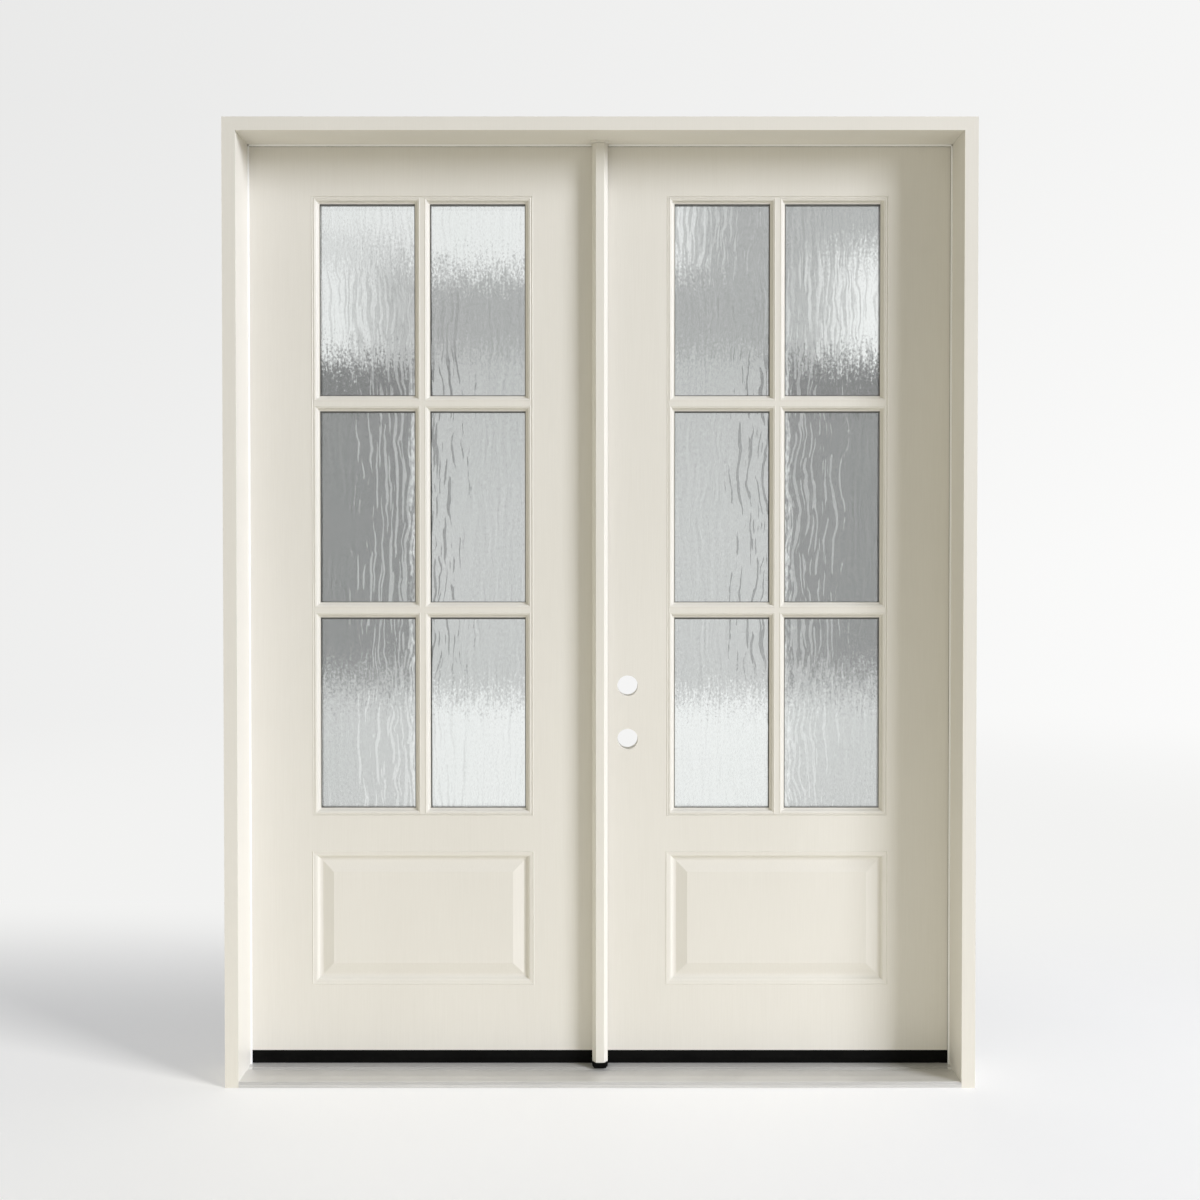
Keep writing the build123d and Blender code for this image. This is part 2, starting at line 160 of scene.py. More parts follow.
def upright_sheet(mesh, x0, x1, z0, z1, y, columns=1, rows=1):
    """Add a flat sheet of columns and rows that stands at y, and give back its vertices."""
    sheet = bmesh.ops.create_grid(mesh, x_segments=columns, y_segments=rows, size=0.5)["verts"]
    bmesh.ops.scale(mesh, vec=(x1 - x0, z1 - z0, 1.0), verts=sheet)
    upright = Matrix.Rotation(math.radians(90), 3, "X")
    bmesh.ops.rotate(mesh, cent=(0, 0, 0), matrix=upright, verts=sheet)
    bmesh.ops.translate(mesh, vec=((x0 + x1) / 2, y, (z0 + z1) / 2), verts=sheet)
    return sheet


def close_behind(mesh, back_y):
    """Make a sheet a closed plate: walls from its border back to back_y, and a flat back."""
    rim = bmesh.ops.extrude_edge_only(mesh, edges=[e for e in mesh.edges if e.is_boundary])["geom"]
    for vertex in [v for v in rim if isinstance(v, bmesh.types.BMVert)]:
        vertex.co.y = back_y
    border = [e for e in rim if isinstance(e, bmesh.types.BMEdge) and e.is_boundary]
    bmesh.ops.edgeloop_fill(mesh, edges=border)


def finish_piece(mesh, name, material, body):
    """Turn a bmesh into an object with a material that rides on a body."""
    bmesh.ops.recalc_face_normals(mesh, faces=mesh.faces)
    data = bpy.data.meshes.new(name)
    mesh.to_mesh(data)
    mesh.free()
    piece = bpy.data.objects.new(name, data)
    bpy.context.collection.objects.link(piece)
    data.materials.append(material)
    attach(piece, body)
    return piece


# Painted shade: darker than the deck's aluminium.
nose_metal, tree, shader = new_material("sill_nose", Metallic=0.35, Roughness=0.45)
nose_shade_streaks = cloud(tree, (6.0, 300.0, 300.0), 1.0, detail=3.0)
tint(tree, shader, nose_shade_streaks, (0.57, 0.565, 0.55), (0.67, 0.665, 0.65))
bump(tree, shader, nose_shade_streaks, 0.00003)
deck_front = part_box("sill_deck")[0].y
mesh = bmesh.new()
upright_sheet(mesh, -NOSE_HALF_WIDTH, NOSE_HALF_WIDTH, NOSE_LOW_Z, NOSE_HIGH_Z, deck_front - NOSE_PROUD,
              rows=NOSE_STRIPS)
for z in GROOVE_HEIGHTS:
    groove = [v for v in mesh.verts if abs(v.co.z - z) < GROOVE_HALF_WIDTH]
    bmesh.ops.translate(mesh, vec=(0, GROOVE_DEPTH, 0), verts=groove)
close_behind(mesh, deck_front + NOSE_SUNK)
finish_piece(mesh, "sill_nose", nose_metal, "frame")


# Threshold slope shade: a thin grey strip with rounded long edges over the threshold's front slope, from
# jamb to jamb, a painted shade that darkens the slope.
SLOPE_START = Vector((0.0, 0.00865, 0.0115))
SLOPE_END = Vector((0.0, 0.01365, 0.0155))
SLOPE_SHADE_END_GAP = 0.0105
SLOPE_SHADE_HALF_WIDTH = NOSE_HALF_WIDTH - SLOPE_SHADE_END_GAP
SLOPE_SHADE_HALF_THICKNESS = 0.0004
SLOPE_SHADE_ROUNDING = 0.0003


def add_block(mesh, x0, x1, y0, y1, z0, z1):
    """Add a box between two corners to a bmesh."""
    block = bmesh.ops.create_cube(mesh, size=1.0)["verts"]
    bmesh.ops.scale(mesh, vec=(x1 - x0, y1 - y0, z1 - z0), verts=block)
    bmesh.ops.translate(mesh, vec=((x0 + x1) / 2, (y0 + y1) / 2, (z0 + z1) / 2), verts=block)


def round_edges(mesh, edges, offset, segments):
    """Round some edges of a bmesh."""
    bmesh.ops.bevel(mesh, geom=edges, offset=offset, segments=segments, profile=0.5, affect="EDGES",
                    material=-1)


# Painted shade: a mid grey that darkens the threshold's front slope.
slope_shade, tree, shader = new_material("threshold_slope_shade", Roughness=0.6)
slope_shade_mottle = cloud(tree, (3.0, 80.0, 80.0), 1.0, detail=3.0)
tint(tree, shader, slope_shade_mottle, (0.36, 0.355, 0.335), (0.43, 0.425, 0.405))
slope = SLOPE_END - SLOPE_START
half_slope = slope.length / 2
mesh = bmesh.new()
add_block(mesh, -SLOPE_SHADE_HALF_WIDTH, SLOPE_SHADE_HALF_WIDTH, -half_slope, half_slope,
          -SLOPE_SHADE_HALF_THICKNESS, SLOPE_SHADE_HALF_THICKNESS)
long_edges = [e for e in mesh.edges if abs(e.verts[0].co.x - e.verts[1].co.x) > SLOPE_SHADE_HALF_WIDTH]
round_edges(mesh, long_edges, SLOPE_SHADE_ROUNDING, 3)
tilt = Matrix.Rotation(math.atan2(slope.z, slope.y), 3, "X")
bmesh.ops.rotate(mesh, cent=(0, 0, 0), matrix=tilt, verts=mesh.verts)
bmesh.ops.translate(mesh, vec=(SLOPE_START + SLOPE_END) / 2, verts=mesh.verts)
finish_piece(mesh, "threshold_slope_shade", slope_shade, "frame")


# Jambs and head: primed timber with a rabbet for the leaves, sprayed in a warm off-white satin paint.
# The head is screwed between the side jambs and the joint is filled before painting.
def paint(name, grain_depth):
    """Satin off-white paint: a faint cloud in its colour, spray texture and the grain under it."""
    material, tree, shader = new_material(name, Roughness=0.42, IOR=1.48, Specular_IOR_Level=0.32)
    tone = cloud(tree, (1.0, 1.0, 0.35), 3.0, detail=4.0)
    grain = cloud(tree, (420.0, 420.0, 9.0), 1.0, detail=4.0, rough=0.62)
    spray = cloud(tree, EVEN, 650.0, detail=2.0)
    colour = spread(tree, tone, (0.750, 0.727, 0.663), (0.780, 0.757, 0.693))
    streaks = spread(tree, grain, (0.978, 0.976, 0.972), (1.0, 1.0, 1.0), low=0.35, high=0.65)
    mix = tree.nodes.new("ShaderNodeMix")
    mix.data_type = "RGBA"
    mix.blend_type = "MULTIPLY"
    mix.inputs["Factor"].default_value = 1.0
    tree.links.new(colour, mix.inputs["A"])
    tree.links.new(streaks, mix.inputs["B"])
    tree.links.new(mix.outputs["Result"], shader.inputs["Base Color"])
    wear(tree, shader, spray, 0.38, 0.47)
    sprayed = bump(tree, shader, spray, 0.00004)
    bump(tree, shader, grain, grain_depth, under=sprayed)
    return material


frame_paint = paint("painted_frame", 0.00006)
dress(frame_paint, "left_jamb", "right_jamb", "head_jamb", "astragal")


# Head cap: a small timber pad pinned under the head, in the frame's paint. The top of the moulding
# between the leaves closes against it, and its upright corners are eased with sandpaper.
CAP_SIDE_MARGIN = 0.0012
CAP_FRONT_MARGIN = 0.0040
CAP_SUNK = 0.0004
CAP_ROUNDING = 0.0015
UPRIGHT_RISE = 0.003


def upright_edges(mesh):
    """The edges of a bmesh that run upwards."""
    return [e for e in mesh.edges if abs(e.verts[0].co.z - e.verts[1].co.z) > UPRIGHT_RISE]


low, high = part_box("head_pad")
mesh = bmesh.new()
add_block(mesh, low.x - CAP_SIDE_MARGIN, high.x + CAP_SIDE_MARGIN, low.y - CAP_FRONT_MARGIN, high.y,
          low.z, high.z + CAP_SUNK)
round_edges(mesh, upright_edges(mesh), CAP_ROUNDING, 3)
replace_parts(finish_piece(mesh, "head_cap", frame_paint, "frame"), "head_pad")


# Seals: white foam under a smooth skin, pressed into a slot in each jamb's stop, and squeezed by the
# closed leaf.
foam_seal, tree, shader = new_material("white_seal", Roughness=0.6)
pores = cloud(tree, (1.0, 1.0, 0.4), 900.0, detail=2.0)
tint(tree, shader, pores, (0.87, 0.87, 0.855), (0.93, 0.93, 0.915))
bump(tree, shader, pores, 0.00005)
dress(foam_seal, "head_seal", "left_jamb_seal", "right_jamb_seal", "astragal_seal")


# Seal shadow strips: grey strips at the edge of the seal at the head and the right jamb, next to the closed
# leaf, a painted shadow line in the gap between seal and leaf on the shaded side. They ride on the frame
# with the seals.
SEAL_SHADOW_THICKNESS = 0.0012
SEAL_SHADOW_REACH = 0.0030
SEAL_SHADOW_SUNK = 0.0003
SEAL_SHADOW_OVER_FOOT = 0.036
seal_shade_strip, tree, shader = new_material("painted_seal_shadow", Roughness=0.8)
seal_shade_mottle = cloud(tree, (60.0, 60.0, 6.0), 1.0, detail=3.0)
tint(tree, shader, seal_shade_mottle, (0.40, 0.385, 0.34), (0.50, 0.48, 0.43))
mesh = bmesh.new()
low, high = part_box("head_seal")
add_block(mesh, low.x, high.x, high.y - SEAL_SHADOW_REACH, high.y, low.z - SEAL_SHADOW_THICKNESS, low.z + SEAL_SHADOW_SUNK)
low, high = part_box("right_jamb_seal")
add_block(mesh, low.x - SEAL_SHADOW_THICKNESS, low.x, high.y - SEAL_SHADOW_REACH, high.y, low.z + SEAL_SHADOW_OVER_FOOT, high.z)
finish_piece(mesh, "seal_shadow_strips", seal_shade_strip, "frame")


# Leaves: two moulded skins over timber stiles and rails and a foam core. The skins carry a shallow
# wood grain from the mould and the same paint as the frame.
skin_paint = paint("painted_skin", 0.00014)
stile_paint = paint("painted_stile", 0.0001)
for side in ("left", "right"):
    for part in ("_outer_skin", "_inner_skin", "_outer_lite_frame", "_inner_lite_frame"):
        dress(skin_paint, side + part)
    for part in ("_hinge_stile", "_lock_stile", "_top_rail", "_bottom_rail"):
        dress(stile_paint, side + part)
dress(stile_paint, "right_lock_block")

foam, tree, shader = new_material("foam", Roughness=0.85)
cells = cloud(tree, EVEN, 420.0, detail=2.0)
tint(tree, shader, cells, (0.74, 0.68, 0.44), (0.84, 0.78, 0.54))
bump(tree, shader, cells, 0.0003)
dress(foam, "left_foam_core", "right_foam_core")


# Door bottoms: flexible black vinyl with a dull bloom, stapled under each leaf so that its fins brush the
# threshold. The foot of the moulding between the leaves is of the same vinyl. Its colour is darker than
# black vinyl, partly painted shade of the gap under the leaves.
vinyl, tree, shader = new_material("black_vinyl", Roughness=0.7, Specular_IOR_Level=0.05)
bloom = cloud(tree, (0.2, 1.0, 1.0), 60.0, detail=3.0)
tint(tree, shader, bloom, (0.0025, 0.0025, 0.0022), (0.005, 0.005, 0.0045))
wear(tree, shader, bloom, 0.52, 0.68)
dress(vinyl, "left_door_sweep", "right_door_sweep", "astragal_foot")


# Astragal boot: a cap of the same black vinyl, pushed over the lower end of the moulding between the
# leaves. It has rounded front corners and a rounded sole.
BOOT_MARGIN = 0.0004
BOOT_BACK_INSET = 0.0003
BOOT_SOLE_Z = 0.0182
BOOT_OVERLAP = 0.0074
BOOT_CORNER = 0.007
BOOT_SOLE_ROUNDING = 0.0055
SOLE_REACH = 0.0008
low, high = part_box("astragal")
mesh = bmesh.new()
add_block(mesh, low.x - BOOT_MARGIN, high.x + BOOT_MARGIN, low.y - BOOT_MARGIN, high.y - BOOT_BACK_INSET,
          BOOT_SOLE_Z, low.z + BOOT_OVERLAP)
middle_y = (low.y + high.y) / 2
front_corners = [e for e in upright_edges(mesh) if e.verts[0].co.y < middle_y]
round_edges(mesh, front_corners, BOOT_CORNER, 5)
sole = [e for e in mesh.edges if max(v.co.z for v in e.verts) < BOOT_SOLE_Z + SOLE_REACH]
round_edges(mesh, sole, BOOT_SOLE_ROUNDING, 4)
finish_piece(mesh, "astragal_boot", vinyl, "left_leaf")


# Hinges: butt hinges of steel plated in satin nickel, brushed lengthwise. One plate is mortised flush
# into the leaf's edge and the other into the jamb.
nickel, tree, shader = new_material("hinge_steel", Metallic=1.0, Roughness=0.3)
brush = cloud(tree, (1.0, 1.0, 0.02), 1500.0, detail=2.0)
tint(tree, shader, brush, (0.55, 0.54, 0.52), (0.66, 0.65, 0.63))
wear(tree, shader, brush, 0.24, 0.36)
dress(nickel, "left_jamb_hinges", "right_jamb_hinges", "left_leaf_hinges", "right_leaf_hinges")


# Hinge screws: four nickel-plated countersunk screws in each hinge plate, driven flush, with a sunk
# socket in the head.
HINGE_HEIGHTS = (0.2308, 0.9018, 1.5727, 2.2437)
SCREW_PLACES = ((0.0545, -0.038), (0.0545, 0.038), (0.0700, -0.014), (0.0700, 0.014))
JAMB_PLATE_X = 0.9287
LEAF_PLATE_X = 0.9237
HEAD_RADIUS = 0.0048
HEAD_TOP_RADIUS = 0.0036
HEAD_DEPTH = 0.0007
HEAD_PROUD = 0.0003
SOCKET_RIM = 0.0016
SOCKET_DEPTH = 0.0004


def add_screw(mesh, place, facing):
    """Add a screw head at a place, facing along x where facing is 1 and against it where it is -1."""
    head = bmesh.ops.create_cone(mesh, cap_ends=True, segments=16, radius1=HEAD_RADIUS,
                                 radius2=HEAD_TOP_RADIUS, depth=HEAD_DEPTH)["verts"]
    top = [f for f in mesh.faces if all(v in head and v.co.z > 0 for v in f.verts)]
    rim = bmesh.ops.inset_region(mesh, faces=top, thickness=SOCKET_RIM, depth=-SOCKET_DEPTH)["faces"]
    verts = list(set(head) | {v for f in rim + top for v in f.verts})
    turn = Matrix.Rotation(math.radians(90 * facing), 3, "Y")
    bmesh.ops.rotate(mesh, cent=(0, 0, 0), matrix=turn, verts=verts)
    bmesh.ops.translate(mesh, vec=place, verts=verts)


for side, outward in (("left", -1), ("right", 1)):
    plates = (("jamb", "frame", JAMB_PLATE_X, -1), ("leaf", side + "_leaf", LEAF_PLATE_X, 1))
    for part, body, plate_x, facing in plates:
        mesh = bmesh.new()
        for hinge_z in HINGE_HEIGHTS:
            for y, up in SCREW_PLACES:
                place = (outward * (plate_x + facing * HEAD_PROUD), y, hinge_z + up)
                add_screw(mesh, place, outward * facing)
        finish_piece(mesh, side + "_" + part + "_hinge_screws", nickel, body)


# Inner panes: clear float glass with a slight green in its thickness, bedded in the inner lite frame
# against the spacer.
clear, tree, shader = new_material("clear_glass", Roughness=0.0, IOR=1.45, Transmission_Weight=1.0)
wipe = cloud(tree, EVEN, 5.0, detail=4.0)
tint(tree, shader, wipe, (0.955, 0.975, 0.965), (0.975, 0.985, 0.98))
dress(clear, "left_inner_pane", "right_inner_pane")


# Rain glass: float glass rolled with running ridges on its outer face, which bend what is seen through it.
# It is held between the two lite frames, in front of the clear pane. Its colour carries a painted reflection
# of the
# surroundings: grey and white bands with streaks, lighter or darker where the ridges lean.
PANE_COLUMNS = 320
PANE_ROWS = 300
PANE_SEEDS = (("left", 11), ("right", 29))
TABLE_ROWS = 130
TABLE_COLUMNS = 140
RIDGE_HEIGHT = 0.00032
FINE_HEIGHT = 0.00008
RELIEF_ROOM = 0.0011
RIDGE_CELL = (0.0078, 0.12)
FINE_CELL = (0.0045, 0.05)
STRONG_CELL = (0.022, 0.07)
WANDERS = ((0, 0.009, (0.055, 0.11)), (1, 0.0042, (0.022, 0.042)), (3, 0.0022, (0.014, 0.022)))
LEAN_REACH = 0.0005
TURN_SHARPNESS = 42.0
TURN_REACH = 0.160
RISE_REACH = 2.2
BAR_MIDDLE = (0.475, 0.505)
# Painted reflection: bands of the surroundings for the lites near the middle and for the outer lites, each
# as start height, end height and tone.
INNER_PAINTED_BANDS = ((0.92, 1.03, 0.66), (1.40, 1.83, 0.61), (1.82, 1.93, 0.50))
OUTER_PAINTED_BANDS = ((0.92, 1.11, 0.34), (1.70, 1.80, 0.25), (1.78, 1.93, 0.54))


def soft_grid(table, x, z, cell_x, cell_z):
    """Smooth heights between -1 and 1, from a table of random ones, on cells of a size in metres."""
    fx = x / cell_x + 2.0
    fz = z / cell_z + 2.0
    ix, iz = fx.astype(int), fz.astype(int)
    tx, tz = fx - ix, fz - iz
    tx, tz = tx * tx * (3 - 2 * tx), tz * tz * (3 - 2 * tz)
    top = table[iz, ix] * (1 - tx) + table[iz, ix + 1] * tx
    low = table[iz + 1, ix] * (1 - tx) + table[iz + 1, ix + 1] * tx
    return top * (1 - tz) + low * tz


def rain_relief(tables, x, z):
    """Height of the rolled ridges in metres, x and z from the pane's lower left corner."""
    run = x
    for number_of_table, distance, cell in WANDERS:
        run = run + distance * soft_grid(tables[number_of_table], x, z, *cell)
    ridge = soft_grid(tables[2], run, z, *RIDGE_CELL)
    strong = np.clip(0.62 + 0.7 * soft_grid(tables[3], run, z, *STRONG_CELL), 0.1, 1.35)
    fine = soft_grid(tables[4], run, z, *FINE_CELL)
    return RIDGE_HEIGHT * strong * ridge + FINE_HEIGHT * fine


def step(tree, value, start, end):
    """0 before start and 1 past end, smoothly; start may be the larger."""
    node = tree.nodes.new("ShaderNodeMapRange")
    node.interpolation_type = "SMOOTHSTEP"
    node.inputs["From Min"].default_value = start
    node.inputs["From Max"].default_value = end
    tree.links.new(value, node.inputs["Value"])
    return node.outputs["Result"]


def number(tree, operation, first, second=0.0, third=0.0):
    """One sum on sockets or plain numbers."""
    node = tree.nodes.new("ShaderNodeMath")
    node.operation = operation
    for socket, value in zip(node.inputs, (first, second, third)):
        if isinstance(value, (int, float)):
            socket.default_value = value
        else:
            tree.links.new(value, socket)
    return node.outputs[0]


def times(tree, first, second):
    """The product of two sockets or numbers."""
    return number(tree, "MULTIPLY", first, second)


def swing(tree, pattern, strength):
    """A factor about 1 that a pattern about 0 moves by strength."""
    return number(tree, "MULTIPLY_ADD", pattern, strength, 1.0)


def between(tree, share, first, second):
    """first where share is 0 and second where it is 1."""
    return number(tree, "MULTIPLY_ADD", share, number(tree, "SUBTRACT", second, first), first)


def banded(tree, height, lowest, bands):
    """The tone at a height: lowest at first, then each band's start, end and tone."""
    tone = lowest
    for start, end, next_tone in bands:
        tone = between(tree, step(tree, height, start, end), tone, next_tone)
    return tone


def pebbles(tree, scale, detail, rough=0.5):
    """A noise pattern about 0, scale in cells per metre along each axis."""
    return number(tree, "SUBTRACT", cloud(tree, scale, 1.0, detail=detail, rough=rough), 0.5)


def lean(tree, name):
    """How far the rolled face leans, stored on the pane's points."""
    node = tree.nodes.new("ShaderNodeAttribute")
    node.attribute_name = name
    return node.outputs["Fac"]


rain, tree, shader = new_material("rain_glass", Roughness=0.04, IOR=1.45, Transmission_Weight=1.0)
place = tree.nodes.new("ShaderNodeTexCoord")
parts = tree.nodes.new("ShaderNodeSeparateXYZ")
tree.links.new(place.outputs["Object"], parts.inputs["Vector"])
pebble_x = pebbles(tree, (160.0, 1.0, 60.0), 2.0)
pebble_z = pebbles(tree, (180.0, 1.0, 125.0), 3.0, rough=0.6)
ragged_z = pebbles(tree, (140.0, 1.0, 20.0), 2.0)
lean_x = lean(tree, "lean_x")
turned = number(tree, "TANH", times(tree, lean_x, TURN_SHARPNESS))
bent_x = number(tree, "MULTIPLY_ADD", turned, TURN_REACH, parts.outputs["X"])
bent_x = number(tree, "MULTIPLY_ADD", pebble_x, 0.07, bent_x)
bent_z = number(tree, "MULTIPLY_ADD", lean(tree, "lean_z"), RISE_REACH, parts.outputs["Z"])
bent_z = number(tree, "MULTIPLY_ADD", pebble_z, 0.27, bent_z)
bent_z = number(tree, "MULTIPLY_ADD", ragged_z, 0.16, bent_z)
out_from_middle = number(tree, "ABSOLUTE", bent_x)
left_half = step(tree, bent_x, 0.34, 0.14)

# Painted reflection: grey and white bands by height, a light top on the left half, and a pale patch high on
# the outer edges.
inner = banded(tree, bent_z, 0.965, INNER_PAINTED_BANDS)
inner_light = times(tree, step(tree, bent_z, 2.03, 2.15), left_half)
inner = between(tree, inner_light, inner, 0.965)
outer = banded(tree, bent_z, 0.70, OUTER_PAINTED_BANDS)
outer_light = times(tree, step(tree, bent_z, 2.06, 2.24), left_half)
outer = between(tree, outer_light, outer, 0.93)
patch = times(tree, step(tree, out_from_middle, 0.50, 0.72), step(tree, bent_z, 2.22, 2.06))
patch = times(tree, patch, step(tree, bent_z, 1.82, 1.92))
outer = between(tree, patch, outer, 0.985)

real_side = step(tree, number(tree, "ABSOLUTE", parts.outputs["X"]), 0.462, 0.464)
grey_part = times(tree, step(tree, bent_z, 0.96, 1.12), step(tree, bent_z, 2.12, 1.98))
strength = between(tree, grey_part, between(tree, real_side, 0.3, 1.0), 1.0)
far_side = times(tree, step(tree, out_from_middle, *BAR_MIDDLE), strength)
tone = between(tree, far_side, inner, outer)
# Painted highlight and shade: streaks lighter or darker by the lean of the ridges, stronger where a ridge
# shows the tone from across the bar, with a fine mottle.
crossed = times(tree, number(tree, "SUBTRACT", real_side, far_side), grey_part)
tone = times(tree, tone, swing(tree, crossed, 0.26))
tone = times(tree, tone, swing(tree, lean_x, 1.5))
tone = times(tree, tone, swing(tree, pebbles(tree, (420.0, 1.0, 110.0), 2.0), 0.40))
tone = number(tree, "MINIMUM", tone, 0.985)
painted_view_colour = tree.nodes.new("ShaderNodeCombineColor")
tree.links.new(times(tree, tone, 0.985), painted_view_colour.inputs["Red"])
tree.links.new(tone, painted_view_colour.inputs["Green"])
tree.links.new(tone, painted_view_colour.inputs["Blue"])
tree.links.new(painted_view_colour.outputs["Color"], shader.inputs["Base Color"])
bump(tree, shader, pebble_z, 0.0003)

for side, seed in PANE_SEEDS:
    low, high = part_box(side + "_outer_pane")
    mesh = bmesh.new()
    lean_layers = [mesh.verts.layers.float.new(name) for name in ("lean_x", "lean_z")]
    upright_sheet(mesh, low.x, high.x, low.z, high.z, low.y, columns=PANE_COLUMNS, rows=PANE_ROWS)
    front = mesh.verts[:]
    for face in mesh.faces:
        face.smooth = True
    close_behind(mesh, high.y)
    x = np.array([v.co.x for v in front]) - low.x
    z = np.array([v.co.z for v in front]) - low.z
    table_size = (TABLE_ROWS, TABLE_COLUMNS)
    tables = [np.random.default_rng(seed + n).uniform(-1.0, 1.0, table_size) for n in range(5)]
    rise_x = rain_relief(tables, x + LEAN_REACH, z) - rain_relief(tables, x - LEAN_REACH, z)
    rise_z = rain_relief(tables, x, z + LEAN_REACH) - rain_relief(tables, x, z - LEAN_REACH)
    for layer, rise in zip(lean_layers, (rise_x, rise_z)):
        for vertex, value in zip(front, rise / (2 * LEAN_REACH)):
            vertex[layer] = value
    for vertex, height in zip(front, rain_relief(tables, x, z)):
        vertex.co.y = low.y + RELIEF_ROOM - height
    pane = finish_piece(mesh, side + "_rain_pane", rain, side + "_leaf")
    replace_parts(pane, side + "_outer_pane")


# Quirk fillets: a thin raised edge that the mould leaves round each lite, each lite frame and each
# raised panel, where the flat face drops into the moulding. It is in the skin's paint.
LITE_BORDER = 0.017
BAR_WIDTH = 0.040
PANEL_HEIGHT = 0.341
PANEL_OVER_LEAF_BOTTOM = 0.1776
FILLET_LIFT = 0.00005
FILLET_SUNK = 0.0003
LITE_FILLET = {"margin": 0.0140, "width": 0.0026, "rise": 0.0009}
PANEL_FILLET = {"margin": 0.0055, "width": 0.0034, "rise": 0.0013}
FRAME_FILLET = {"margin": 0.0034, "width": 0.0030, "rise": 0.0012}


def add_fillet(mesh, x0, x1, z0, z1, face_y, margin, width, rise):
    """Add a mitred ridge with two sloping sides round a rectangle, a margin outside it."""
    sheet = upright_sheet(mesh, x0 - margin, x1 + margin, z0 - margin, z1 + margin, face_y - FILLET_LIFT)
    middle = [f for f in mesh.faces if all(v in sheet for v in f.verts)]
    outer_slope = bmesh.ops.inset_region(mesh, faces=middle, thickness=width / 2, use_boundary=True,
                                         use_even_offset=True)["faces"]
    inner_slope = bmesh.ops.inset_region(mesh, faces=middle, thickness=width / 2,
                                         use_even_offset=True)["faces"]
    crest = list({v for f in outer_slope for v in f.verts} & {v for f in inner_slope for v in f.verts})
    bmesh.ops.delete(mesh, geom=middle, context="FACES_ONLY")
    bmesh.ops.translate(mesh, vec=(0, -rise, 0), verts=crest)
    behind = bmesh.ops.extrude_face_region(mesh, geom=outer_slope + inner_slope)["geom"]
    for vertex in [v for v in behind if isinstance(v, bmesh.types.BMVert)]:
        vertex.co.y = face_y + FILLET_SUNK


def lite_openings(side):
    """Each lite's opening in a leaf's outer frame."""
    low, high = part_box(side + "_outer_lite_frame")
    lite_width = (high.x - low.x - 2 * LITE_BORDER - BAR_WIDTH) / 2
    lite_height = (high.z - low.z - 2 * LITE_BORDER - 2 * BAR_WIDTH) / 3
    for column in range(2):
        for row in range(3):
            x0 = low.x + LITE_BORDER + column * (lite_width + BAR_WIDTH)
            z0 = low.z + LITE_BORDER + row * (lite_height + BAR_WIDTH)
            yield x0, x0 + lite_width, z0, z0 + lite_height


for side in ("left", "right"):
    low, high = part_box(side + "_outer_lite_frame")
    skin_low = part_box(side + "_outer_skin")[0]
    panel_low_z = skin_low.z + PANEL_OVER_LEAF_BOTTOM
    panel_high_z = panel_low_z + PANEL_HEIGHT
    mesh = bmesh.new()
    for opening in lite_openings(side):
        add_fillet(mesh, *opening, low.y, **LITE_FILLET)
    add_fillet(mesh, low.x, high.x, panel_low_z, panel_high_z, skin_low.y, **PANEL_FILLET)
    add_fillet(mesh, low.x, high.x, low.z, high.z, skin_low.y, **FRAME_FILLET)
    finish_piece(mesh, side + "_quirk_fillets", skin_paint, side + "_leaf")


# Glazing shadow: dark strips just in front of the rain glass, under the lip of the lite frame, a painted
# shadow of the frame on the glass.
# A line of it shows inside each lite, widest under the top edge, where the shadow falls from above.
GLASS_DEPTH = 0.0095
GLAZING_SHADOW_THICKNESS = 0.0006
GLAZING_SHADOW_TOP = 0.0045
GLAZING_SHADOW_FOOT = 0.0016
GLAZING_SHADOW_SIDE = 0.0014
glazing_shade_strip, tree, shader = new_material("painted_glazing_shadow", Roughness=0.8)
glazing_shade_mottle = cloud(tree, EVEN, 700.0, detail=2.0)
tint(tree, shader, glazing_shade_mottle, (0.055, 0.055, 0.050), (0.11, 0.11, 0.10))
for side in ("left", "right"):
    glass_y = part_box(side + "_outer_lite_frame")[0].y + GLASS_DEPTH
    mesh = bmesh.new()
    for x0, x1, z0, z1 in lite_openings(side):
        top = (x0, x1, z1 - GLAZING_SHADOW_TOP, z1)
        foot = (x0, x1, z0, z0 + GLAZING_SHADOW_FOOT)
        left = (x0, x0 + GLAZING_SHADOW_SIDE, z0, z1)
        right = (x1 - GLAZING_SHADOW_SIDE, x1, z0, z1)
        for strip_x0, strip_x1, strip_z0, strip_z1 in (top, foot, left, right):
            add_block(mesh, strip_x0, strip_x1, glass_y - GLAZING_SHADOW_THICKNESS, glass_y, strip_z0, strip_z1)
    finish_piece(mesh, side + "_glazing_shadow", glazing_shade_strip, side + "_leaf")


# Studio floor: a pale painted floor that fades into the surround. What the camera sees of it looks white,
# lifted by a painted glow, with a soft shadow that a painted light fades away behind the door. It lights the
# door from below as a warm grey floor and glows near the door, a painted pool of light.
FLOOR_RADIUS = 10.0
FADE_START = 3.5
FADE_END = 9.0
SEEN_LIFT = 0.350
SEEN_GLOW = 0.89


def looked_at(tree):
    """1 for what the camera sees, also in metal and through glass, and 0 for light on the object."""
    rays = tree.nodes.new("ShaderNodeLightPath")
    glossy = number(tree, "MAXIMUM", rays.outputs["Is Camera Ray"], rays.outputs["Is Glossy Ray"])
    return number(tree, "MAXIMUM", glossy, rays.outputs["Is Transmission Ray"])


def joined(tree, kind, first, second, share=None):
    """Two shaders added, or mixed by a share, as one output."""
    node = tree.nodes.new(kind)
    ends = [socket for socket in node.inputs if socket.type == "SHADER"]
    tree.links.new(first, ends[0])
    tree.links.new(second, ends[1])
    if share is not None:
        tree.links.new(share, node.inputs["Fac"])
    return node.outputs[0]


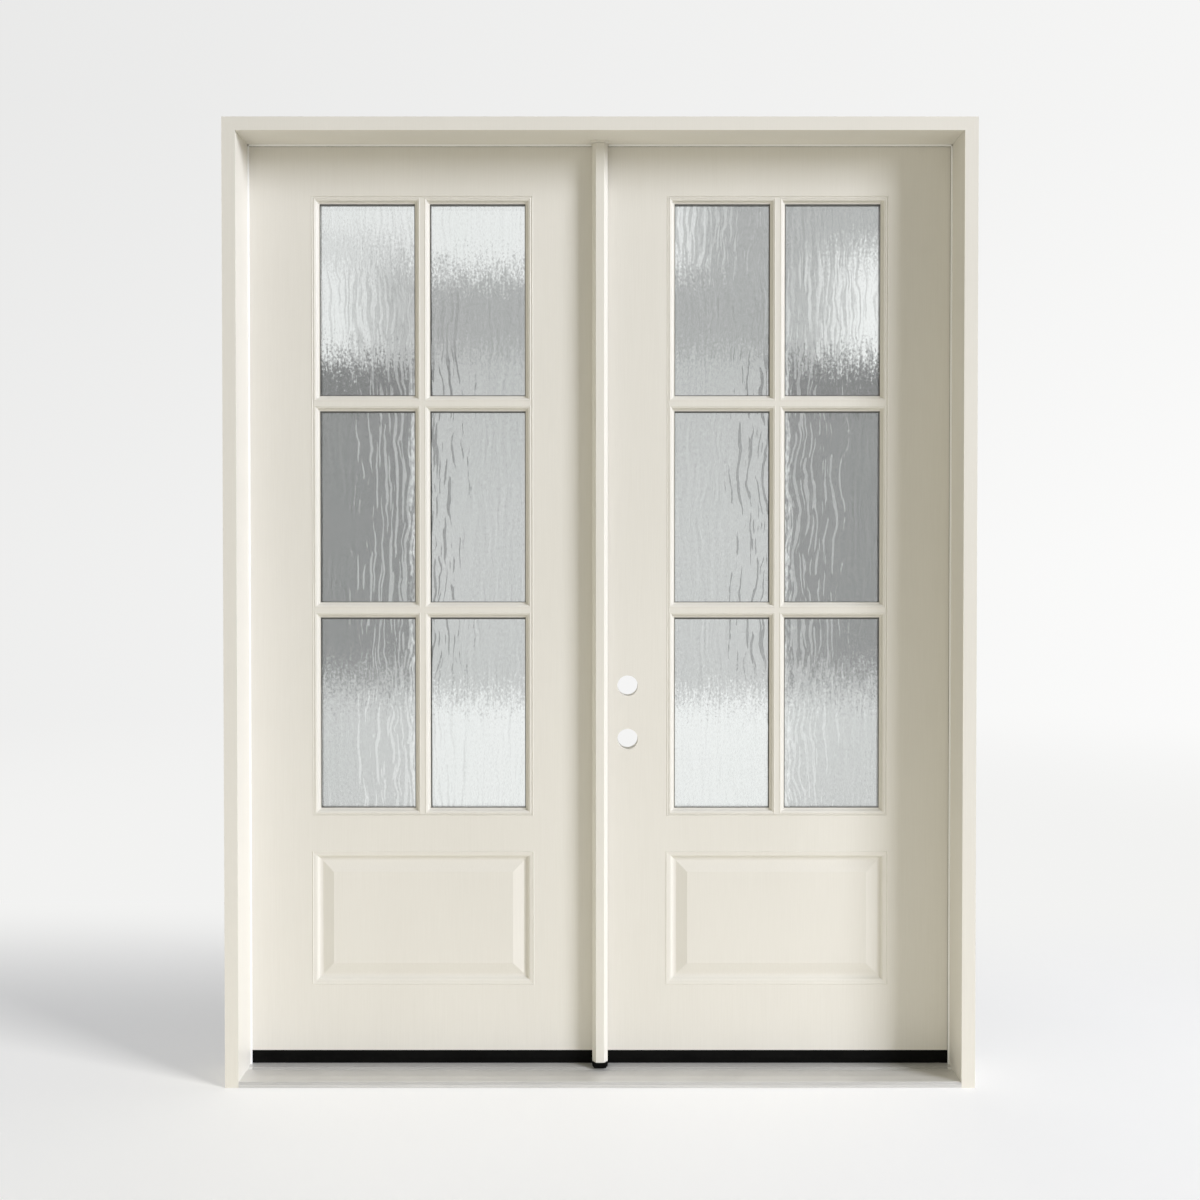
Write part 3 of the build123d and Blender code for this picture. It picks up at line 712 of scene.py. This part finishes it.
def emission(tree, colour, strength=1.0):
    """A shader that gives off light."""
    node = tree.nodes.new("ShaderNodeEmission")
    node.inputs["Color"].default_value = (*colour, 1.0)
    node.inputs["Strength"].default_value = strength
    return node


ground = bpy.data.materials.new("studio_floor")
ground.use_nodes = True
tree = ground.node_tree
tree.nodes.clear()
place = tree.nodes.new("ShaderNodeTexCoord")
parts = tree.nodes.new("ShaderNodeSeparateXYZ")
tree.links.new(place.outputs["Object"], parts.inputs["Vector"])
distance = tree.nodes.new("ShaderNodeVectorMath")
distance.operation = "LENGTH"
tree.links.new(place.outputs["Object"], distance.inputs[0])
far_out = distance.outputs["Value"]

mottle = cloud(tree, EVEN, 0.8, detail=3.0)
pale = tree.nodes.new("ShaderNodeBsdfDiffuse")
pale_colour = spread(tree, mottle, (0.727, 0.703, 0.615), (0.747, 0.723, 0.635))
tree.links.new(pale_colour, pale.inputs["Color"])
# Painted light: a glow lifts the floor that the camera sees, more to the right and at the far left.
lift = emission(tree, (0.76, 0.816, 1.0))
to_right = remap(tree, parts.outputs["X"], 0.0, 1.6, 0.0, 0.080)
to_left = remap(tree, parts.outputs["X"], -0.9, -1.5, 0.0, 0.022)
lift_strength = number(tree, "ADD", number(tree, "ADD", to_right, to_left), SEEN_LIFT)
tree.links.new(lift_strength, lift.inputs["Strength"])
lit = joined(tree, "ShaderNodeAddShader", pale.outputs[0], lift.outputs[0])
glow = emission(tree, (1.0, 1.0, 0.99), SEEN_GLOW)
# Painted light: behind the door the seen floor turns into an even glow, so that the door's shadow fades with
# distance.
behind_door = step(tree, parts.outputs["Y"], 0.3, 1.7)
seen_floor = joined(tree, "ShaderNodeMixShader", lit, glow.outputs[0], behind_door)

grey = tree.nodes.new("ShaderNodeBsdfDiffuse")
grey.inputs["Color"].default_value = (0.90, 0.87, 0.79, 1.0)
# Painted pool of light: near the door the floor glows, lighting the door from below.
near_door_glow = emission(tree, (1.0, 0.965, 0.85))
near_door = step(tree, far_out, 4.5, 1.0)
tree.links.new(number(tree, "MULTIPLY_ADD", near_door, 0.26, 0.03), near_door_glow.inputs["Strength"])
lighting_floor = joined(tree, "ShaderNodeAddShader", grey.outputs[0], near_door_glow.outputs[0])
whole_floor = joined(tree, "ShaderNodeMixShader", lighting_floor, seen_floor, looked_at(tree))
clear_end = tree.nodes.new("ShaderNodeBsdfTransparent")
faded = step(tree, far_out, FADE_START, FADE_END)
whole_floor = joined(tree, "ShaderNodeMixShader", whole_floor, clear_end.outputs[0], faded)
output = tree.nodes.new("ShaderNodeOutputMaterial")
tree.links.new(whole_floor, output.inputs["Surface"])
bpy.ops.mesh.primitive_circle_add(vertices=96, radius=FLOOR_RADIUS, fill_type="NGON", location=(0, 0, 0))
floor = bpy.context.object
floor.name = "studio_floor"
floor.data.materials.append(ground)


# Studio surround: pale walls all round, seen as near white and a little darker on the left. They
# light the door softly, more from the left than from the right.
LEFT_FILL = 0.78
RIGHT_FILL = 0.05
world = bpy.data.worlds.new("studio")
bpy.context.scene.world = world
world.use_nodes = True
tree = world.node_tree
tree.nodes.clear()
place = tree.nodes.new("ShaderNodeTexCoord")
parts = tree.nodes.new("ShaderNodeSeparateXYZ")
tree.links.new(place.outputs["Object"], parts.inputs["Vector"])
surround = tree.nodes.new("ShaderNodeBackground")
across = remap(tree, parts.outputs["X"], -0.5, 0.5, 0.0, 1.0)
wall_colour = spread(tree, across, (0.82, 0.82, 0.815), (0.94, 0.94, 0.935), low=0.0, high=1.0)
tree.links.new(wall_colour, surround.inputs["Color"])
tree.links.new(remap(tree, parts.outputs["Z"], 0.0, 0.3, 1.035, 0.985), surround.inputs["Strength"])
ambient = tree.nodes.new("ShaderNodeBackground")
ambient.inputs["Color"].default_value = (1.0, 0.965, 0.82, 1.0)
from_left = number(tree, "POWER", remap(tree, parts.outputs["X"], -1.0, 1.0, 1.0, 0.0), 1.6)
fill = number(tree, "MULTIPLY_ADD", from_left, LEFT_FILL, RIGHT_FILL)
tree.links.new(fill, ambient.inputs["Strength"])
walls = joined(tree, "ShaderNodeMixShader", ambient.outputs[0], surround.outputs[0], looked_at(tree))
output = tree.nodes.new("ShaderNodeOutputWorld")
tree.links.new(walls, output.inputs["Surface"])


# Key lamp: one large soft box high on the right and in front, a little cooler than the walls, aimed
# at the middle of the door.
KEY_PLACE = (15.7, -9.8, 8.9)
KEY_AIM = (0.0, 0.0, 1.2)
KEY_WIDTH = 6.2
KEY_HEIGHT = 9.2
KEY_POWER = 4230.0
key = bpy.data.lights.new("key", "AREA")
key.shape = "RECTANGLE"
key.size = KEY_WIDTH
key.size_y = KEY_HEIGHT
key.energy = KEY_POWER
key.color = (0.890, 0.908, 0.995)
holder = bpy.data.objects.new("key", key)
holder.location = KEY_PLACE
holder.rotation_euler = (Vector(KEY_AIM) - holder.location).to_track_quat("-Z", "Y").to_euler()
holder.visible_camera = False
bpy.context.collection.objects.link(holder)


# Camera: it stands in front of the meeting line at chest height, tipped down slightly. Its lens is
# shifted so that the door keeps its uprights nearly parallel and its place in the picture.
CAMERA_PLACE = (0.0, -3.4134, 1.355)
CAMERA_TIP = 0.805
lens = bpy.data.cameras.new("camera")
lens.lens = 39.65
lens.sensor_width = 36.0
lens.shift_y = -0.02358
camera = bpy.data.objects.new("camera", lens)
camera.location = CAMERA_PLACE
camera.rotation_euler = (math.radians(90.0 - CAMERA_TIP), 0.0, 0.0)
bpy.context.collection.objects.link(camera)
bpy.context.scene.camera = camera

bpy.context.scene.view_settings.view_transform = "Standard"
